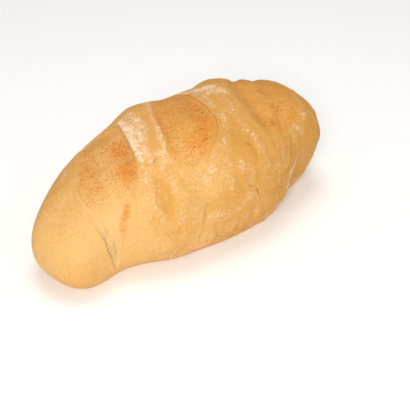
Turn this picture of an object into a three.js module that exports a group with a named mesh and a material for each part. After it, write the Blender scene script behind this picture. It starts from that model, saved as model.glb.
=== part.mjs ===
// A white bread loaf, baked in one piece and scored three times across its back.
// Millimetres, +Z up. X runs along the loaf, from its narrow end to its broad end, and the loaf
// rests on its flat base at z = 0, with the origin in the middle of the space that it takes up.
import * as THREE from "three";
import { mergeVertices } from "three/addons/utils/BufferGeometryUtils.js";

// Driving dimensions
const LENGTH = 320;
const WIDTH = 160; // at the widest line of the middle of the loaf
const HEIGHT = 113; // crown of the middle of the loaf, above the base
const WIDEST_LINE = 46; // height of the widest line above the base
const FOOT_INSET = 15; // how far the base's edge lies inside the widest line
const FOOT_TURN = THREE.MathUtils.degToRad(64); // how far the side turns under before the base

// Each score: the place of its middle along the loaf, how wide it opened in the oven, and the drop
// from the skin to its floor on its narrow-end side and its broad-end side.
const SCORES = [
  { place: -82, width: 56, drops: [2, 5] },
  { place: 3, width: 54, drops: [4, 3] },
  { place: 96, width: 60, drops: [5, 3] },
];
const SCORE_REACH = 125; // across the loaf
const SCORE_SLANT = 0.4; // drift along the loaf for each millimetre across it
const SCORE_RISE = 3; // how far the floor swells again in the middle
const LIP_SHARE = 0.5; // share of a score's half width that its lip slopes over

// Each ridge of skin left standing between two scores: its place and how far it stands up.
const RIDGES = [
  { place: -38, height: 4 },
  { place: 56, height: 6 },
];
const RIDGE_WIDTH = 52;
const RIDGE_REACH = 150; // across the loaf
const RIDGE_SHIFT = 26; // towards the far side, where the ridges stand proudest on the far side

const TEAR_PLACE = -104; // where the near side tore open below the first score
const TEAR_WIDTH = 26;
const TEAR_DEPTH = 3;
const TEAR_MIDDLE = 0.25; // rise of its middle, and how far it runs to each side, in radians
const TEAR_RUN = 0.62;

// How the loaf departs from an even shape, at evenly spaced stations from the narrow end to the
// broad end, as shares of half the width or of the height.
const NEAR_SIDE = [1.16, 0.7, 0.83, 0.94, 0.98, 0.92, 1.2];
const FAR_SIDE = [0.6, 0.89, 0.97, 0.98, 0.96, 1.01, 1.08];
const CROWN = [0.67, 0.77, 0.89, 1.0, 0.99, 1.03, 1.12];

const PLAN_FULLNESS = 2.34; // 2 is an ellipse, and more is squarer, seen from above
const CROWN_FULLNESS = 2.34; // the same for the arch above the widest line

// Facets along the loaf, across it and up its sides
const FACETS = [68, 28, 15];

const { smoothstep } = THREE.MathUtils;

// A smooth curve through evenly spaced values, read at a share from -1 to 1.
function profile(values) {
  const places = values.map((_, i) => (2 * i) / (values.length - 1) - 1);
  const curve = new THREE.CubicInterpolant(places, values, 1, new Float64Array(1));
  return (share) => curve.evaluate(THREE.MathUtils.clamp(share, -1, 1))[0];
}

const nearSide = profile(NEAR_SIDE);
const farSide = profile(FAR_SIDE);
const crown = profile(CROWN);

// The point at an angle on an oval two units across that is swollen towards a square.
function swollen(angle, fullness) {
  const ray = [Math.cos(angle), Math.sin(angle)];
  const size = ray.reduce((sum, part) => sum + Math.abs(part) ** fullness, 0) ** (1 / fullness);
  return ray.map((part) => part / size);
}

// The point of the plain, unscored loaf at a compass angle and a rise, where rise goes from
// -FOOT_TURN at the base's edge, through 0 at the widest line, to a quarter turn at the crown.
function plainLoaf(angle, rise) {
  const [along, across] = swollen(angle, PLAN_FULLNESS);
  const [reach, height] = swollen(Math.max(rise, 0), CROWN_FULLNESS);
  const under = Math.max(-rise, 0);
  const tuck = (FOOT_INSET * (1 - Math.cos(under))) / (1 - Math.cos(FOOT_TURN));
  const drop = (WIDEST_LINE * Math.sin(under)) / Math.sin(FOOT_TURN);
  const share = along * reach;
  const half = (WIDTH / 2) * (across < 0 ? nearSide(share) : farSide(share));
  return new THREE.Vector3(
    along * ((LENGTH / 2) * reach - tuck),
    across * (half * reach - tuck),
    crown(share) * (WIDEST_LINE + (HEIGHT - WIDEST_LINE) * height - drop),
  );
}

// How far the crust stands out from the plain loaf at a place seen from above: the scores drop
// to a floor that swells again, and the skin between them stands up in ridges.
function scoreRelief(x, y) {
  const place = x - SCORE_SLANT * y;
  const end = Math.min(Math.abs(y) / (SCORE_REACH / 2), 0.999);
  const narrowing = Math.sqrt(1 - end * end);
  const scores = SCORES.map((score) => {
    const side = (place - score.place) / ((score.width / 2) * narrowing);
    const inside = 1 - Math.abs(side);
    const drop = THREE.MathUtils.lerp(...score.drops, smoothstep(side, -0.6, 0.6));
    const floor = SCORE_RISE * smoothstep(inside, LIP_SHARE, 1);
    return (floor - drop * smoothstep(inside, 0, LIP_SHARE)) * smoothstep(1 - end, 0, 0.35);
  });
  const ridges = RIDGES.map((ridge) => {
    const beside = 1 - Math.abs(place - ridge.place) / (RIDGE_WIDTH / 2);
    const ridgeEnd = 1 - Math.abs(y - RIDGE_SHIFT) / (RIDGE_REACH / 2);
    return ridge.height * smoothstep(beside, 0, 1) * smoothstep(ridgeEnd, 0, 0.7);
  });
  return [...scores, ...ridges].reduce((sum, part) => sum + part, 0);
}

// How deep the tear is, at a place along the near side and a rise.
function tearDepth(x, rise) {
  const end = Math.abs(rise - TEAR_MIDDLE) / TEAR_RUN;
  const half = (TEAR_WIDTH / 2) * Math.sqrt(Math.max(1 - end * end, 1e-6));
  const fade = smoothstep(1 - end, 0, 0.5);
  return TEAR_DEPTH * fade * smoothstep(1 - Math.abs(x - TEAR_PLACE) / half, 0, 1);
}

// The top and the four sides of a gridded box, so that when they are bent into the crust no facet
// shrinks to a needle at a pole.
function openBox() {
  const box = new THREE.BoxGeometry(2, 2, 2, ...FACETS);
  box.setIndex([...box.index.array.slice(0, box.groups[5].start)]);
  box.deleteAttribute("normal");
  box.deleteAttribute("uv");
  return mergeVertices(box);
}

function loafGeometry() {
  const geometry = openBox();
  const { position } = geometry.attributes;
  const point = new THREE.Vector3();
  const even = (share) => Math.tan((share * Math.PI) / 4);
  const rises = [];
  for (let i = 0; i < position.count; i++) {
    point.fromBufferAttribute(position, i);
    point.set(even(point.x), even(point.y), even((point.z + 1) / 2));
    const angle = Math.atan2(point.y, point.x);
    const lift = Math.atan2(point.z, Math.hypot(point.x, point.y)) / (Math.PI / 2);
    rises[i] = THREE.MathUtils.lerp(-FOOT_TURN, Math.PI / 2, lift);
    position.setXYZ(i, ...plainLoaf(angle, rises[i]));
  }

  geometry.computeVertexNormals();
  const normal = new THREE.Vector3();
  for (let i = 0; i < position.count; i++) {
    point.fromBufferAttribute(position, i);
    normal.fromBufferAttribute(geometry.attributes.normal, i);
    let relief = scoreRelief(point.x, point.y) * smoothstep(rises[i], 0, 0.35);
    if (point.y < 0) relief -= tearDepth(point.x, rises[i]);
    position.setXYZ(i, ...point.addScaledVector(normal, relief));
  }

  // A fan of facets closes the flat base.
  const rim = rises.map((_, i) => i).filter((i) => rises[i] < 1e-6 - FOOT_TURN);
  for (const i of rim) position.setZ(i, 0);
  const compass = (i) => Math.atan2(position.getY(i), position.getX(i));
  rim.sort((a, b) => compass(a) - compass(b));
  const middle = position.count;
  const fan = rim.flatMap((i, k) => [middle, rim[(k + 1) % rim.length], i]);
  geometry.setAttribute("position", new THREE.Float32BufferAttribute([...position.array, 0, 0, 0], 3));
  geometry.setIndex([...geometry.index.array, ...fan]);

  geometry.computeBoundingBox();
  geometry.boundingBox.getCenter(point);
  geometry.translate(-point.x, -point.y, 0);
  geometry.computeVertexNormals();
  return geometry;
}

const crust = new THREE.MeshStandardMaterial({ color: 0xe9b56c, roughness: 0.7, metalness: 0 });
const loaf = new THREE.Mesh(loafGeometry(), crust);
loaf.name = "loaf";

const bread = new THREE.Group();
bread.add(loaf);

export default bread;
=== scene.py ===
import math

import bmesh
import bpy
import numpy as np
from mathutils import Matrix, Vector


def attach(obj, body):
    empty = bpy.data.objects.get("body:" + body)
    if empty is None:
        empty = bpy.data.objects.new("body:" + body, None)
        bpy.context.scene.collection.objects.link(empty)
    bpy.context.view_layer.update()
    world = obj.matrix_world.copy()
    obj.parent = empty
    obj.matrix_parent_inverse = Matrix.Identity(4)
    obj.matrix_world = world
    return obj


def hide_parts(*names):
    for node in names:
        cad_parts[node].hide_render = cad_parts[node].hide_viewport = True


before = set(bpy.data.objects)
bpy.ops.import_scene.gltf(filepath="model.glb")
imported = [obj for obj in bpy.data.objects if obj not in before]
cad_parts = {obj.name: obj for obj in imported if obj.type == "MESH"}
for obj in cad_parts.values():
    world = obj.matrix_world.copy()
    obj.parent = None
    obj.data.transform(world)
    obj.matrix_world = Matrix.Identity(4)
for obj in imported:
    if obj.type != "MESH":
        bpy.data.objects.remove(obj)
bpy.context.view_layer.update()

# The skin of the loaf
# One skin of dough over the whole loaf, which baked hard. It starts as a copy of the plain solid,
# welded, turned back into squares, smoothed and closed again by a flat base, and the next
# sections shape its points in turn.
MM = 0.001
SMOOTHINGS = 2


def smoothed_skin(solid):
    mesh = solid.data.copy()
    work = bmesh.new()
    work.from_mesh(mesh)
    bmesh.ops.remove_doubles(work, verts=work.verts, dist=0.01 * MM)
    base = [f for f in work.faces if f.calc_center_median().z < 0.01 * MM]
    crust = [f for f in work.faces if f.calc_center_median().z >= 0.01 * MM]
    bmesh.ops.join_triangles(
        work, faces=crust, angle_face_threshold=math.pi, angle_shape_threshold=math.pi
    )
    bmesh.ops.delete(work, geom=base, context="FACES")
    work.to_mesh(mesh)
    work.free()
    plain = bpy.data.objects.new("smoothing", mesh)
    bpy.context.scene.collection.objects.link(plain)
    smoother = plain.modifiers.new("smooth", "SUBSURF")
    smoother.levels = smoother.render_levels = SMOOTHINGS
    shaped = plain.evaluated_get(bpy.context.evaluated_depsgraph_get())
    skin = bpy.data.meshes.new_from_object(shaped)
    bpy.data.objects.remove(plain)
    return skin


def close_base(skin):
    work = bmesh.new()
    work.from_mesh(skin)
    rim = [e for e in work.edges if e.is_boundary]
    bmesh.ops.holes_fill(work, edges=rim, sides=0)
    bmesh.ops.recalc_face_normals(work, faces=work.faces)
    for face in work.faces:
        face.smooth = len(face.verts) <= 4
    work.to_mesh(skin)
    work.free()


skin = smoothed_skin(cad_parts["loaf"])
count = len(skin.vertices)
points = np.empty(count * 3)
skin.vertices.foreach_get("co", points)
points = points.reshape(-1, 3) / MM
normals = np.empty(count * 3)
skin.vertices.foreach_get("normal", normals)
normals = normals.reshape(-1, 3)
x, y, z = points.T
plan = points[:, :2]
side = points[:, [0, 2]]


# The lumps of the dough
# Shaping by hand leaves broad, shallow lumps, and the drying skin wrinkles more finely. On the
# flanks the wrinkles hang down from the scores, and the narrow end stays tight and smooth.
# Heights are in mm, and they build up from section to section.
TILT = np.array([[0.36, 0.48, -0.8], [-0.8, 0.6, 0.0], [0.48, 0.64, 0.6]])  # turns the bumps askew


def ramp(values, low, high):
    """A smooth rise from 0 at low to 1 at high."""
    share = np.clip((values - low) / (high - low), 0, 1)
    return share * share * (3 - 2 * share)


def rough(size, seed, stretch=(1, 1, 1), octaves=3):
    """Soft random bumps of about one size, from -1 to 1, with finer ones added by each octave."""
    cells = 32
    clear_of_zero = 500
    lattice = np.random.default_rng(seed).uniform(-1, 1, (cells, cells, cells))
    total = np.zeros(count)
    for octave in range(octaves):
        scaled = (points / (np.array(stretch) * size)) @ TILT * 2**octave + clear_of_zero
        cell = np.floor(scaled).astype(int)
        share = scaled - cell
        share = share * share * (3 - 2 * share)
        for corner in np.ndindex(2, 2, 2):
            weight = np.prod(np.where(corner, share, 1 - share), axis=1)
            i, j, k = ((cell + corner) % cells).T
            total += weight * lattice[i, j, k] / 2**octave
    return total


height = np.zeros(count)
off_base = ramp(z, 0.5, 6)
flank = 1 - ramp(normals[:, 2], 0.35, 0.85)
loose = ramp(x, -115, -55)
height += off_base * (0.5 + 0.9 * loose) * rough(40, 1, octaves=2)
height += off_base * (0.1 + 0.4 * loose) * rough(13, 2)
drawn = rough(11, 3, stretch=(1, 2, 3.5), octaves=2)
height += off_base * flank * loose * (1.2 * np.abs(drawn) - 0.35)

# The scores
# Three slanting cuts that the oven opened into broad ovals. Each outline runs clockwise, seen from
# above, and its third value is how far the skin curled up there, in mm. The fresh dough inside
# baked rougher and browner than the skin.
SCORES = [
    [
        (-113, -19, 1.1), (-113, -9, 1.3), (-109, 4, 1.2), (-103, 15, 1.0), (-96, 27, 0.8),
        (-86, 42, 0.5), (-68, 54, 0.6), (-50, 52, 1.0), (-41, 39, 1.8), (-46, 25, 2.4),
        (-51, 11, 2.6), (-56, -4, 2.4), (-60, -16, 1.8), (-65, -24, 1.0), (-72, -32, 0.5),
        (-83, -36, 0.1), (-96, -33, 0.1), (-107, -27, 0.2),
    ],
    [
        (-38, -36, 0.2), (-32, -22, 0.4), (-26, -7, 0.5), (-21, 7, 0.6), (-12, 23, 0.6),
        (-2, 38, 0.5), (10, 50, 0.6), (24, 54, 1.0), (33, 44, 1.6), (35, 30, 2.0), (33, 16, 2.0),
        (30, 0, 2.0), (26, -14, 2.0), (22, -26, 1.9), (16, -36, 1.7), (7, -44, 1.2), (-1, -49, 0.8),
        (-12, -53, 0.4), (-24, -53, 0.3), (-34, -47, 0.2),
    ],
    [
        (57, -40, 0.2), (59, -24, 0.4), (65, -4, 0.6), (75, 14, 0.8), (89, 32, 0.8),
        (105, 45, 0.8), (122, 44, 0.8), (131, 28, 0.8), (133, 8, 0.8), (131, -12, 0.8),
        (121, -34, 0.7), (108, -46, 0.6), (92, -53, 0.5), (74, -57, 0.3), (62, -52, 0.2),
    ],
]
# Painted shade: each score's value is how dark the thin line of shade under its curled lip is.
SCORE_SHADE_LINES = (0.3, 0.36, 0.14)  # how dark the line under each curled skin is
EDGE_REACH = 4.0  # how far from an edge its line is still known


def patch(places, middle, size, turn=0):
    """1 in the middle of a soft oval, fading to 0 at its edge, with its turn in degrees."""
    across = places - middle
    cosine = math.cos(math.radians(turn))
    sine = math.sin(math.radians(turn))
    along = (across[:, 0] * cosine + across[:, 1] * sine) / size[0]
    over = (across[:, 1] * cosine - across[:, 0] * sine) / size[1]
    return 1 - ramp(np.hypot(along, over), 0.2, 1)


def rounded(corners, closed):
    """A smooth line through its corners."""
    if closed:
        ends = [corners[-1], *corners, corners[0], corners[1]]
    else:
        ends = [corners[0], *corners, corners[-1]]
    line = []
    for a, b, c, d in zip(ends, ends[1:], ends[2:], ends[3:]):
        a, b, c, d = (np.array(corner, float) for corner in (a, b, c, d))
        for t in np.linspace(0, 1, 6, endpoint=False):
            bend = 2 * a - 5 * b + 4 * c - d
            line.append(b + 0.5 * t * ((c - a) + t * (bend + t * (3 * (b - c) + d - a))))
    return np.array([*line, ends[-2]])


def beside(places, corners, closed=False, margin=45):
    """How far to the left of a line places lie, and the third value of its corners beside them."""
    line = rounded(corners, closed)
    far_off = (places < line.min(0)[:2] - margin) | (places > line.max(0)[:2] + margin)
    (chosen,) = np.where(~far_off.any(axis=1))
    best = np.full(len(chosen), 1e9)
    nearest_left = np.zeros(len(chosen))
    nearest_value = np.zeros(len(chosen))
    for start, end in zip(line, line[1:]):
        run = end[:2] - start[:2]
        length = np.hypot(*run)
        run = run / length
        offset = places[chosen] - start[:2]
        along = np.clip(offset @ run, 0, length)
        away = offset - along[:, None] * run
        distance = np.hypot(*away.T)
        nearer = distance < best
        best[nearer] = distance[nearer]
        side_of = np.where(run[0] * away[:, 1] < run[1] * away[:, 0], -1, 1)
        nearest_left[nearer] = (side_of * distance)[nearer]
        value = start[2] + (end[2] - start[2]) * along / length
        nearest_value[nearer] = value[nearer]
    left = np.full(len(places), 2.0 * margin)
    values = np.zeros(len(places))
    left[chosen] = nearest_left
    values[chosen] = nearest_value
    return left, values


def paint_edge_shade(left, darkness):
    """Keep the nearest edge, and how dark its painted shade line is, for the thin shade lines of the
    material.
    """
    darkness = darkness * (1 - ramp(np.abs(left), 2.5, EDGE_REACH))
    nearer = (np.abs(left) < np.abs(edge)) & (darkness > 0)
    edge[nearer] = left[nearer]
    edge_shade[nearer] = darkness[nearer]


top = ramp(normals[:, 2], 0.1, 0.4)
wobble = 0.9 * rough(12, 4, octaves=2)
in_score = np.zeros(count)
edge = np.full(count, EDGE_REACH)
edge_shade = np.zeros(count)
flour_cut = np.ones(count)
for line, outline in zip(SCORE_SHADE_LINES, SCORES):
    left, lip = beside(plan, outline, closed=True)
    inside = wobble - left
    curl = 0.4 * np.exp(-(((inside + 2.0) / 2.2) ** 2))
    drop = ramp(inside, -0.7, 1.5) * np.exp(-np.maximum(inside, 0) / 11)
    height += top * lip * (curl - drop)
    in_score = np.maximum(in_score, top * ramp(inside, -1.5, 4))
    flour_cut = np.minimum(flour_cut, 1 - top * ramp(inside, -1.2, 0.6))
    paint_edge_shade(inside - 0.3, line * top * ramp(lip, 0.2, 1.8))
height += in_score * (0.35 * rough(5, 5, octaves=2) + 0.5 * rough(15, 6, octaves=1))

# Brown crust in the scores. The patches at (-60, 12), (-16, 10) and (84, 16) lie in the valleys beside the
# ridges, and there the brown is painted shade as well as crust.
BROWN_AND_SHADE_PATCHES = [
    ((-60, 12), (15, 24), -12, 0.95),
    ((-70, -16), (16, 22), -20, 0.95),
    ((-98, -6), (18, 20), 0, 0.44),
    ((-92, 15), (20, 24), -20, 0.6),
    ((-74, 36), (24, 20), 0, 0.55),
    ((-16, 10), (8, 22), -25, 0.7),
    ((11, -18), (18, 22), -20, 0.9),
    ((3, -32), (22, 16), 30, 0.95),
    ((-12, -37), (24, 16), 10, 0.8),
    ((20, 2), (14, 26), -10, 0.85),
    ((2, 8), (20, 22), 0, 0.6),
    ((12, 34), (24, 20), 0, 0.65),
    ((84, 16), (16, 34), -28, 0.45),
    ((101, -8), (18, 22), -20, 0.55),
    ((96, -30), (24, 16), 10, 0.5),
    ((77, -46), (20, 11), 10, 0.55),
    ((98, 29), (24, 20), -20, 0.55),
    ((114, -14), (14, 28), -10, 0.6),
]
PALE_NEAR_END = ((-97, -38), (32, 22))
brown_and_shade = np.full(count, 0.34)
for middle, size, turn, strength in BROWN_AND_SHADE_PATCHES:
    brown_and_shade = np.maximum(brown_and_shade, strength * patch(plan, middle, size, turn))
brown_and_shade *= in_score * (1 - 0.85 * patch(plan, *PALE_NEAR_END))

# Folds, valleys and cracks
# Where the skin was stretched it folded over itself in shallow steps, with soft valleys and ridges
# beside them, and where it dried first it cracked. The back is seen from above, the side from the
# front, and the third value of each corner is a height in mm.
BACK_CREASES = [
    (5.0, [(-2, 46, 0), (-9, 31, 1.0), (-19, 9, 1.4), (-25, -3, 1.5), (-32, -20, 1.3), (-48, -38, 0)]),
    (4.5, [(-14, 40, 0), (-20, 26, -0.8), (-32, 7, -1.1), (-41, -11, -1.1), (-55, -34, 0)]),
    (6.0, [(4, 44, 0), (-6, 24, -1.2), (-17, 4, -1.7), (-24, -14, -1.6), (-34, -32, -1.1), (-44, -42, 0)]),
    (10.0, [(110, 56, 0), (99, 36, 2.6), (88, 13, 3.0), (80, -6, 2.6), (71, -24, 1.2), (62, -40, 0)]),
    (6.0, [(80, 44, 0), (70, 26, -0.6), (61, 6, -1.1), (53, -14, -1.1), (46, -32, 0)]),
    (3.5, [(47, -50, 0), (45, -58, 0.9), (46, -67, 0.8), (48, -74, 0)]),
    (3.0, [(39, -52, 0), (38, -60, -0.8), (38, -68, -0.6), (38, -74, 0)]),
]
SIDE_CREASES = [
    (6.0, [(-54, 94, 0), (-56, 82, -2.6), (-58, 70, -3.0), (-57, 58, -1.6), (-55, 48, 0)]),
    (7.0, [(-42, 90, 0), (-43, 76, 1.9), (-47, 62, 2.1), (-54, 46, 0)]),
    (2.5, [(-16, 44, 0), (-16, 36, -0.7), (-14, 26, -0.7), (-13, 18, 0)]),
    (3.0, [(31, 44, 0), (30, 34, -0.9), (28, 22, -0.9), (27, 14, 0)]),
    (5.0, [(38, 96, 0), (35, 80, -0.9), (32, 66, -0.9), (31, 58, 0)]),
    (5.0, [(-20, 60, 0), (-8, 46, -0.7), (0, 30, -0.5), (2, 20, 0)]),
]
SIDE_FOLDS = [
    [
        (-57, 93, 0), (-60, 86, -1.3), (-64, 79, -1.8), (-67, 69, -1.6), (-62, 65, -0.8),
        (-60, 57, -0.4), (-57, 49, 0),
    ],
    [(-45, 66, 0), (-48, 58, -0.9), (-53, 46, -0.5), (-55, 40, 0)],
    [
        (-33, 20, 0), (-32, 30, 0.9), (-30, 42, 1.4), (-28, 52, 1.5), (-25, 60, 1.5), (-15, 63, 1.2),
        (-2, 70, 0),
    ],
    [
        (30, 50, 0), (42, 48, 1.4), (54, 46, 2.3), (60, 47, 3.0), (64, 51, 3.2), (67, 54, 3.2),
        (73, 55, 3.2), (79, 58, 2.8), (82, 67, 1.6), (83, 78, 0),
    ],
    [(62, 24, 0), (64, 34, 0.8), (62, 42, 0)],
    [(100, 18, 0), (104, 30, 0.9), (102, 44, 0.9), (106, 54, 0)],
    [(4, 78, 0), (12, 72, 0.7), (16, 64, 0.8), (26, 58, 0)],
]
near = ramp(-normals[:, 1], 0.0, 0.3)
far = ramp(normals[:, 1], 0.0, 0.3)
broad_end = ramp(normals[:, 0], 0.3, 0.7)
unfolded = height.copy()
for places, mask, lines in ((plan, top, BACK_CREASES), (side, near, SIDE_CREASES)):
    for width, line in lines:
        left, rise = beside(places, line)
        height += mask * rise * np.exp(-((left / width) ** 2))
FAR_FOLDS = [
    [(-74, 78, 0), (-70, 64, -1.4), (-66, 52, -1.2), (-62, 40, 0)],
    [(-8, 28, 0), (-4, 42, 1.2), (4, 54, 1.6), (18, 60, 1.2), (30, 70, 0)],
    [(52, 80, 0), (60, 66, -1.4), (58, 50, -1.4), (64, 36, 0)],
    [(96, 24, 0), (100, 40, 1.2), (98, 56, 1.2), (106, 70, 0)],
]
END_FOLDS = [
    [(-46, 34, 0), (-34, 44, 1.2), (-30, 60, 1.2), (-20, 74, 0)],
    [(10, 24, 0), (14, 40, 1.0), (8, 54, 1.2), (16, 70, 0)],
    [(34, 72, 0), (40, 56, -1.2), (36, 40, -1.0), (42, 26, 0)],
]
BACK_FOLDS = [[(-113, -12, 0), (-116, -21, -0.9), (-118, -28, -1.0), (-119, -36, 0)]]
folds = [(plan, top, line) for line in BACK_FOLDS]
folds += [(side, near, line) for line in SIDE_FOLDS]
folds += [(side, far, line) for line in FAR_FOLDS]
folds += [(points[:, 1:], broad_end, line) for line in END_FOLDS]
for places, mask, line in folds:
    left, rise = beside(places, line)
    under = -np.sign(rise) * (left + wobble)
    height -= mask * np.abs(rise) * ramp(under, -0.9, 0.9) * np.exp(-np.maximum(under, 0) / 12)
    # Painted shade: a faint dark line along each fold step.
    paint_edge_shade(left + wobble, mask * 0.1 * ramp(np.abs(rise), 0.4, 2.0))
# Painted shade: the colour darkens where the folds sank the skin.
fold_shade = ramp(unfolded - height, 0.2, 3.0)  # where the folds lie deep enough to look darker

BACK_CRACKS = [
    [(32, -57, 0), (34.5, -58.5, 1), (37, -60, 0)],
    [(-53, -31, 0), (-50, -29, 0.8), (-47, -28.5, 0)],
    [(-41, 2, 0), (-37, 6, 0.6), (-34, 7, 0)],
]
SIDE_CRACKS = [
    [(27.5, 59, 0), (30, 54, 1), (32, 48, 0)],
    [(18, 64.5, 0), (22, 62.5, 0.6), (27, 59, 0)],
    [(-50, 22, 0), (-47, 23.5, 0.9), (-43, 23, 0)],
    [(-25, 19, 0), (-23.5, 17, 1), (-22, 14, 0)],
    [(-16, 20, 0), (-12, 18, 0.9), (-6, 15, 0)],
    [(-14, 19, 0), (-14, 22, 0.7), (-15, 25, 0)],
    [(8, 18, 0), (10, 15, 0.7), (14, 14, 0)],
    [(40, 20, 0), (43, 18, 0.7), (48, 19, 0)],
    [(-70, 30, 0), (-69, 27, 0.4), (-69, 24, 0)],
]
CRACK_DEPTH = 1.3
CRACK_HALF_WIDTH = 1.1
for places, mask, lines in ((plan, top, BACK_CRACKS), (side, near, SIDE_CRACKS)):
    for line in lines:
        left, depth = beside(places, line, margin=8)
        height -= mask * CRACK_DEPTH * depth * np.exp(-((left / CRACK_HALF_WIDTH) ** 2))
        # Painted shade: a dark line in each crack.
        paint_edge_shade(left, mask * 0.9 * depth)

# The tear
# Under the first score the side burst open while it rose. The tear is widest at its top and runs
# down to a point near the base, with a sharp skin on one side and a browned lip on the other.
TEAR_LEFT = [
    (-117, 72, 0), (-119, 65, 0.7), (-118, 58, 1.2), (-116, 50, 1.8), (-115, 39, 1.9),
    (-112, 28, 1.6), (-108, 17, 1.0), (-105, 9, 0),
]
TEAR_RIGHT = [
    (-78, 74, 0), (-84, 71, 1.0), (-89, 68, 2.0), (-95, 63, 2.4), (-99, 54, 1.8), (-99.5, 42, 1.2),
    (-102, 30, 1.2), (-105, 19, 0.8), (-105, 9, 0),
]
left, depth = beside(side, TEAR_LEFT)
right, rise = beside(side, TEAR_RIGHT)
left_of_tear = left + 0.9 * rough(6, 12, octaves=2)
height -= near * 0.6 * depth * ramp(left_of_tear, -0.5, 1.0) * np.exp(-np.maximum(left_of_tear, 0) / 8)
height += near * 0.4 * depth * np.exp(-(((left_of_tear + 1.5) / 2) ** 2))
height += near * 0.7 * rise * ramp(right, -0.8, 0.8) * np.exp(-np.maximum(right, 0) / 7)
height -= near * 0.4 * rise * np.exp(-(((right + 2.5) / 2.5) ** 2))
torn = near * ramp(left_of_tear, -0.4, 1.0) * ramp(-right, -0.4, 1.0)
torn *= ramp(z, 8, 16) * (1 - ramp(z, 58, 76))
height += torn * 0.8 * rough(5, 7, stretch=(0.6, 1, 2.2))
# Painted shade: thin dark lines along both edges of the tear.
paint_edge_shade(left_of_tear, near * ramp(depth, 0.5, 2.0) * 0.4)
paint_edge_shade(right, near * ramp(rise, 0.5, 3.0) * 0.25)
crumb = near * ramp(depth, 0.5, 1.5) * np.exp(-(((left_of_tear - 3.4) / 3.4) ** 2))
crumb = np.maximum(crumb, near * 0.7 * ramp(rise, 1.0, 2.0) * np.exp(-(((right + 2) / 2) ** 2)))
brown_and_shade = np.maximum(brown_and_shade, near * 0.95 * patch(side, (-90, 65), (5, 13), -40))
brown_and_shade = np.maximum(brown_and_shade, near * 0.75 * patch(side, (-96, 54), (3, 10), -15))

# The foot
# Along the base the dough spread on the tray and turned under, so the skin there is lumpy, pale
# and notched, below an uneven line that climbs towards the broad end.
FOOT_LINE = [
    (-160, 0), (-90, 0), (-78, 10), (-67, 19), (-49, 19), (-31, 16), (-9, 12), (9, 12), (26, 13),
    (40, 15), (53, 18), (100, 18), (160, 16),
]
foot_run = ramp(x, -88, -66)
below = np.interp(x, *zip(*FOOT_LINE)) + 3 * rough(14, 8, octaves=2) - z
foot = ramp(below, -0.8, 1.0) * foot_run
height -= foot * 1.3 * np.exp(-np.maximum(below, 0) / 6) * off_base
height += foot * 1.1 * rough(6.5, 9, octaves=2) * ramp(z, 0.5, 3)
# Painted shade: a broken dark line along the foot line.
paint_edge_shade(below, foot_run * ramp(rough(9, 10), 0.1, 0.5) * 0.5 * off_base)

# The flour
# The board and the baker's hands left flour on the skin. It lies in streaks on the ridges between
# the scores and on the shoulder, thick where their third value, a half width in mm, is large.
BACK_FLOUR = [
    (1.0, [(-37, 40, 4), (-42, 27, 5), (-46, 14, 7), (-51, 0, 6), (-55, -12, 5), (-58, -22, 3)]),
    (0.7, [(-30, 38, 7), (-35, 20, 9), (-42, 2, 9), (-49, -14, 7), (-54, -28, 3)]),
    (0.5, [(-34, 28, 6), (-40, 8, 8), (-46, -8, 8), (-52, -18, 6)]),
    (0.35, [(-48, -20, 9), (-58, -30, 10), (-64, -42, 9), (-66, -52, 6)]),
    (0.65, [(-3, 46, 5), (-10, 30, 6), (-20, 9, 5), (-29, -12, 5), (-38, -27, 5), (-48, -38, 4)]),
    (0.9, [(26, 40, 6), (44, 30, 11), (54, 12, 11), (58, 2, 5)]),
    (0.5, [(38, 26, 8), (36, 8, 8), (32, -10, 4)]),
    (0.36, [(57, 20, 7), (53, 2, 8), (47, -18, 7), (42, -36, 6), (40, -48, 4)]),
    (0.4, [(30, -24, 6), (22, -38, 7), (8, -50, 7), (-6, -56, 5)]),
    (0.44, [(10, -50, 5), (6, -58, 7), (3, -66, 5), (0, -74, 3)]),
    (0.46, [(2, -60, 5), (-10, -60, 6), (-22, -62, 5), (-36, -57, 4)]),
    (0.4, [(44, -54, 4), (45, -62, 5), (46, -72, 4)]),
    (0.4, [(90, -56, 6), (108, -50, 6), (122, -40, 5), (128, -20, 4)]),
    (0.35, [(136, -10, 5), (138, 14, 6), (130, 40, 6)]),
    (0.4, [(-110, 30, 4), (-98, 42, 5), (-84, 54, 4)]),
]
SIDE_FLOUR = [
    (0.66, [(96, 59, 2), (92, 54, 3), (88, 47, 5), (84, 38, 6), (81, 29, 6), (79, 18, 4)]),
    (0.42, [(-24, 44, 5), (-12, 46, 6), (-1, 41, 6), (10, 46, 5), (20, 54, 4)]),
    (0.3, [(-48, 84, 6), (-46, 72, 8), (-48, 60, 6), (-52, 50, 2)]),
    (0.4, [(16, 84, 6), (24, 74, 7), (20, 62, 5)]),
    (0.25, [(-20, 84, 8), (-6, 80, 9), (8, 84, 8)]),
    (0.3, [(0, 24, 8), (16, 30, 7), (30, 28, 6)]),
    (0.3, [(60, 70, 10), (74, 66, 8)]),
]
FAR_FLOUR = [
    (0.5, [(-60, 60, 8), (-30, 66, 10), (0, 60, 8)]),
    (0.5, [(20, 84, 6), (40, 74, 9), (56, 58, 7)]),
    (0.4, [(-6, 34, 8), (24, 26, 8), (50, 30, 6)]),
    (0.4, [(86, 60, 8), (110, 50, 10)]),
]
flour = 0.06 * loose
for places, mask, lines in (
    (plan, top, BACK_FLOUR), (side, near, SIDE_FLOUR), (side, far, FAR_FLOUR)
):
    for strength, line in lines:
        left, half = beside(places, line, margin=20)
        thick = strength * (1 - ramp(np.abs(left) / np.maximum(half, 0.5), 0.1, 1.5))
        flour = np.maximum(flour, mask * thick)
flour *= 0.1 + 0.9 * flour_cut
flour = np.maximum(flour, 0.3 * foot)
height += ramp(flour, 0.3, 0.9) * 0.18 * rough(3, 11, octaves=2)

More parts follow.
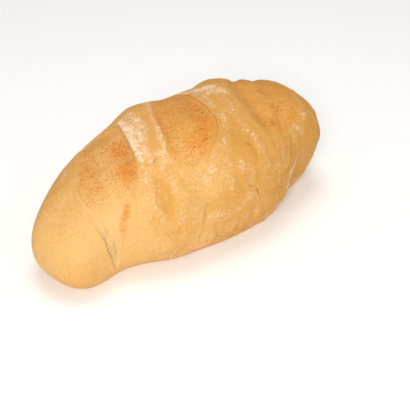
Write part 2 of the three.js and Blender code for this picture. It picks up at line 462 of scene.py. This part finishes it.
# The low corner
# Under a floury ridge of the broad end the near side leans in towards the base, as one flat facet.
# It moves level with the table and mostly across the loaf, so that the base stays flat.
CORNER_RIDGE = [
    (72, -8, 0), (77, 8, 0), (80, 24, 0), (83, 36, 0), (88, 47, 0), (95, 57, 0), (106, 62, 0),
    (120, 61, 0), (140, 56, 0), (170, 54, 0),
]
LEAN = 0.24  # how far it leans in for each millimetre below the ridge
outside, _ = beside(side, CORNER_RIDGE, margin=90)
lean = LEAN * ramp(-outside, -2, 7) * np.clip(-outside, 0, 28) * ramp(-y, 8, 45)
lean *= 1 - 0.6 * ramp(x, 124, 156)
inward = plan * (-1, -4)
inward /= np.maximum(np.hypot(*inward.T), 1e-6)[:, None]

# The finished skin
# The relief stands out along the skin and the lean lies level, and then the base is closed. The
# marks of every section above stay on the skin for its material to read.
# Painted shade: the gold darkens towards the broad end, on the far slope of the narrow end, in the fold
# hollows and on the near side in the middle, and less around the third score.
painted_shade = ramp(x + 0.35 * y, -130, 150) + 0.45 * ramp(y, -15, 40) * (1 - ramp(x, -110, -60))
painted_shade += 0.35 * fold_shade + 0.35 * patch(plan, (16, -54), (40, 26))
painted_shade -= 0.4 * patch(plan, (96, -8), (44, 56))
marks = dict(
    brown_and_shade=brown_and_shade, pitted=in_score, flour=flour, torn=torn, crumb=crumb, foot=foot, painted_shade=painted_shade,
    edge=edge, edge_shade=edge_shade,
)
points = points + normals * height[:, None]
points[:, :2] += inward * lean[:, None]
points[:, 2] = np.maximum(points[:, 2], 0)
skin.vertices.foreach_set("co", (points * MM).ravel())
for name, values in marks.items():
    layer = skin.attributes.new(name, "FLOAT", "POINT")
    layer.data.foreach_set("value", values.astype(np.float32))
close_base(skin)
skin.update()
crust = bpy.data.objects.new("crust", skin)
bpy.context.scene.collection.objects.link(crust)


# The look of the crust
# Thin golden skin with flour on it, browner and pitted in the scores, and pale crumb in the tear.
# Every colour is blended in where its mark lies, through random clouds of a few sizes. Painted shade
# darkens the gold in places, and thin dark lines of painted shade run along lips, folds and cracks.
def linear(red, green, blue):
    return tuple(((c / 255 + 0.055) / 1.055) ** 2.4 for c in (red, green, blue)) + (1,)


LIGHT_GOLD = linear(232, 182, 111)
GOLD = linear(218, 158, 76)
DEEP_GOLD = linear(206, 146, 57)
BROWN = linear(222, 137, 44)
DARK_BROWN = linear(158, 78, 20)
FLOUR = linear(244, 217, 186)
CRUMB = linear(236, 188, 122)
GREY_CRUMB = linear(218, 186, 126)
FOOT = linear(220, 164, 96)

material = bpy.data.materials.new("baked crust")
material.use_nodes = True
nodes, links = material.node_tree.nodes, material.node_tree.links
shader = nodes["Principled BSDF"]
shader.inputs["Specular IOR Level"].default_value = 0.3
coords = nodes.new("ShaderNodeTexCoord").outputs["Object"]


def plug(value, socket):
    if isinstance(value, bpy.types.NodeSocket):
        links.new(value, socket)
    else:
        socket.default_value = value


def mark(name):
    node = nodes.new("ShaderNodeAttribute")
    node.attribute_name = name
    return node.outputs["Fac"]


def math_node(operation, *values):
    node = nodes.new("ShaderNodeMath")
    node.operation = operation
    for value, socket in zip(values, node.inputs):
        plug(value, socket)
    return node.outputs[0]


def product(*values):
    total = values[0]
    for value in values[1:]:
        total = math_node("MULTIPLY", total, value)
    return total


def spread(value, low, high, start=0.0, end=1.0):
    node = nodes.new("ShaderNodeMapRange")
    node.interpolation_type = "SMOOTHSTEP"
    for v, socket in zip((value, low, high, start, end), node.inputs):
        plug(v, socket)
    return node.outputs[0]


def cloudy(size, detail=3.0, roughness=0.6, stretch=(1, 1, 1)):
    """Random clouds of about one size, in mm."""
    mapping = nodes.new("ShaderNodeMapping")
    mapping.inputs["Scale"].default_value = [1 / (size * MM * share) for share in stretch]
    links.new(coords, mapping.inputs["Vector"])
    node = nodes.new("ShaderNodeTexNoise")
    links.new(mapping.outputs[0], node.inputs["Vector"])
    node.inputs["Scale"].default_value = 1
    node.inputs["Detail"].default_value = detail
    node.inputs["Roughness"].default_value = roughness
    return node.outputs["Fac"]


def dots(spacing, radius, share):
    """Round dots in a share of the cells of a random pattern, in mm."""
    node = nodes.new("ShaderNodeTexVoronoi")
    links.new(coords, node.inputs["Vector"])
    node.inputs["Scale"].default_value = 1 / (spacing * MM)
    chance = nodes.new("ShaderNodeSeparateColor")
    links.new(node.outputs["Color"], chance.inputs[0])
    size = spread(chance.outputs[0], 1 - share, 1, 0.0, radius / spacing)
    return spread(math_node("SUBTRACT", size, node.outputs["Distance"]), 0.0, 0.08)


def blend(share, a, b):
    node = nodes.new("ShaderNodeMix")
    node.data_type = "RGBA"
    plug(share, node.inputs[0])
    plug(a, node.inputs[6])
    plug(b, node.inputs[7])
    return node.outputs[2]


broad = cloudy(34)
mottle = cloudy(9)
clumps = cloudy(2.6, 4.0, 0.7)
fine = cloudy(1.5, 3.0, 0.7)
# Painted shade: the gold turns deeper where the painted shade mark lies, with random clouds on top.
shade_and_mottle = math_node("ADD", mark("painted_shade"), spread(broad, 0.3, 0.7, -0.18, 0.18))
shade_and_mottle = math_node("ADD", shade_and_mottle, spread(clumps, 0.3, 0.7, 0.12, -0.12))
colour = blend(spread(shade_and_mottle, -0.1, 0.5), LIGHT_GOLD, GOLD)
colour = blend(spread(shade_and_mottle, 0.5, 1.0), colour, DEEP_GOLD)
colour = blend(spread(fine, 0.4, 0.7, 0.0, 0.4), colour, DEEP_GOLD)
colour = blend(product(mark("foot"), spread(clumps, 0.35, 0.65, 0.2, 0.65)), colour, FOOT)

veins = cloudy(4.5, 3.0, 0.7, stretch=(1.5, 1, 1))
# Brown crust in the scores, which in three valley patches is also painted shade.
brown_and_shade_cloud = math_node("ADD", mark("brown_and_shade"), spread(mottle, 0.3, 0.7, -0.15, 0.15))
brown_and_shade_cloud = math_node("ADD", brown_and_shade_cloud, spread(veins, 0.32, 0.68, -0.2, 0.2))
brown_and_shade_cloud = math_node("ADD", brown_and_shade_cloud, spread(fine, 0.32, 0.68, -0.35, 0.35))
brown_and_shade_share = product(spread(brown_and_shade_cloud, 0.0, 1.25), spread(mark("brown_and_shade"), 0.0, 0.35))
colour = blend(brown_and_shade_share, colour, BROWN)
pits = math_node("MAXIMUM", product(dots(3.6, 1.1, 0.6), 0.9), product(dots(2.0, 0.75, 0.7), 0.75))
pit_share = product(pits, mark("pitted"), spread(mark("brown_and_shade"), 0.0, 0.65), 0.85)
freckles = product(spread(fine, 0.53, 0.68), brown_and_shade_share, mark("pitted"), 0.65)
colour = blend(math_node("MAXIMUM", pit_share, freckles), colour, DARK_BROWN)

colour = blend(product(mark("torn"), 0.9), colour, CRUMB)
colour = blend(product(mark("crumb"), spread(clumps, 0.3, 0.7, 0.3, 0.8)), colour, GREY_CRUMB)
dusting = math_node("ADD", mark("flour"), spread(clumps, 0.3, 0.7, -0.4, 0.4))
dusting = math_node("ADD", dusting, spread(mottle, 0.3, 0.7, -0.3, 0.3))
dusting = math_node("ADD", dusting, spread(fine, 0.3, 0.7, -0.3, 0.3))
dusted = math_node("ADD", spread(dusting, 0.32, 1.4, 0.0, 0.88), product(mark("flour"), 0.12))
colour = blend(dusted, colour, FLOUR)
# Painted shade: thin dark lines along the lips, fold steps, cracks, tear edges and foot line.
shade_line = spread(math_node("ABSOLUTE", mark("edge")), 0.0, 0.9, 1.0, 0.0)
colour = blend(product(shade_line, mark("edge_shade")), colour, DARK_BROWN)
links.new(colour, shader.inputs["Base Color"])
links.new(spread(dusted, 0.0, 1.0, 0.62, 0.9), shader.inputs["Roughness"])
bump = nodes.new("ShaderNodeBump")
bump.inputs["Strength"].default_value = 0.8
bump.inputs["Distance"].default_value = 1.1 * MM
relief = math_node("ADD", fine, product(cloudy(0.8), 0.4))
relief = math_node("SUBTRACT", relief, product(pit_share, 0.8))
links.new(relief, bump.inputs["Height"])
links.new(bump.outputs[0], shader.inputs["Normal"])
skin.materials.clear()
skin.materials.append(material)

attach(crust, "root")
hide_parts("loaf")

# The table and the light
# A plain pale table top, a large soft lamp to the left, a weaker one to the right and one above.
# An even white room fills the shadows.
REACH = 4
ROOM_LIGHT = 0.42
table = bpy.data.meshes.new("table")
table.from_pydata(
    [(-REACH, -REACH, 0), (REACH, -REACH, 0), (REACH, REACH, 0), (-REACH, REACH, 0)],
    [],
    [(0, 1, 2, 3)],
)
floor = bpy.data.objects.new("table", table)
bpy.context.scene.collection.objects.link(floor)
paint = bpy.data.materials.new("pale table")
paint.use_nodes = True
paint.node_tree.nodes["Principled BSDF"].inputs["Base Color"].default_value = linear(248, 247, 244)
paint.node_tree.nodes["Principled BSDF"].inputs["Roughness"].default_value = 0.8
table.materials.append(paint)


def lamp(name, place, size, power):
    light = bpy.data.lights.new(name, "AREA")
    light.shape = "DISK"
    light.size = size
    light.energy = power
    holder = bpy.data.objects.new(name, light)
    holder.location = place
    aim = Vector((0, 0, 0.05)) - Vector(place)
    holder.rotation_euler = aim.to_track_quat("-Z", "Y").to_euler()
    bpy.context.scene.collection.objects.link(holder)


lamp("key", (-1.2, -1.2, 1.2), 0.9, 28.8)
lamp("fill", (1.2, -1.0, 1.0), 1.2, 3)
lamp("top", (0.2, 0.3, 1.8), 1.0, 11)
world = bpy.data.worlds.new("studio")
world.use_nodes = True
world.node_tree.nodes["Background"].inputs["Color"].default_value = (1, 1, 1, 1)
world.node_tree.nodes["Background"].inputs["Strength"].default_value = ROOM_LIGHT
bpy.context.scene.world = world
bpy.context.scene.view_settings.view_transform = "Standard"

# The camera
# It stands in front of the narrow end, to the left, and looks down on the loaf. It has a long lens,
# and everything is in focus.
lens = bpy.data.cameras.new("camera")
lens.lens = 70.8
lens.sensor_width = 36
lens.clip_start = 0.05
camera = bpy.data.objects.new("camera", lens)
camera.location = (-0.3939, -0.5030, 0.4800)
camera.rotation_mode = "QUATERNION"
camera.rotation_quaternion = Vector((0.5196, 0.6143, -0.5938)).to_track_quat("-Z", "Y")
bpy.context.scene.collection.objects.link(camera)
bpy.context.scene.camera = camera
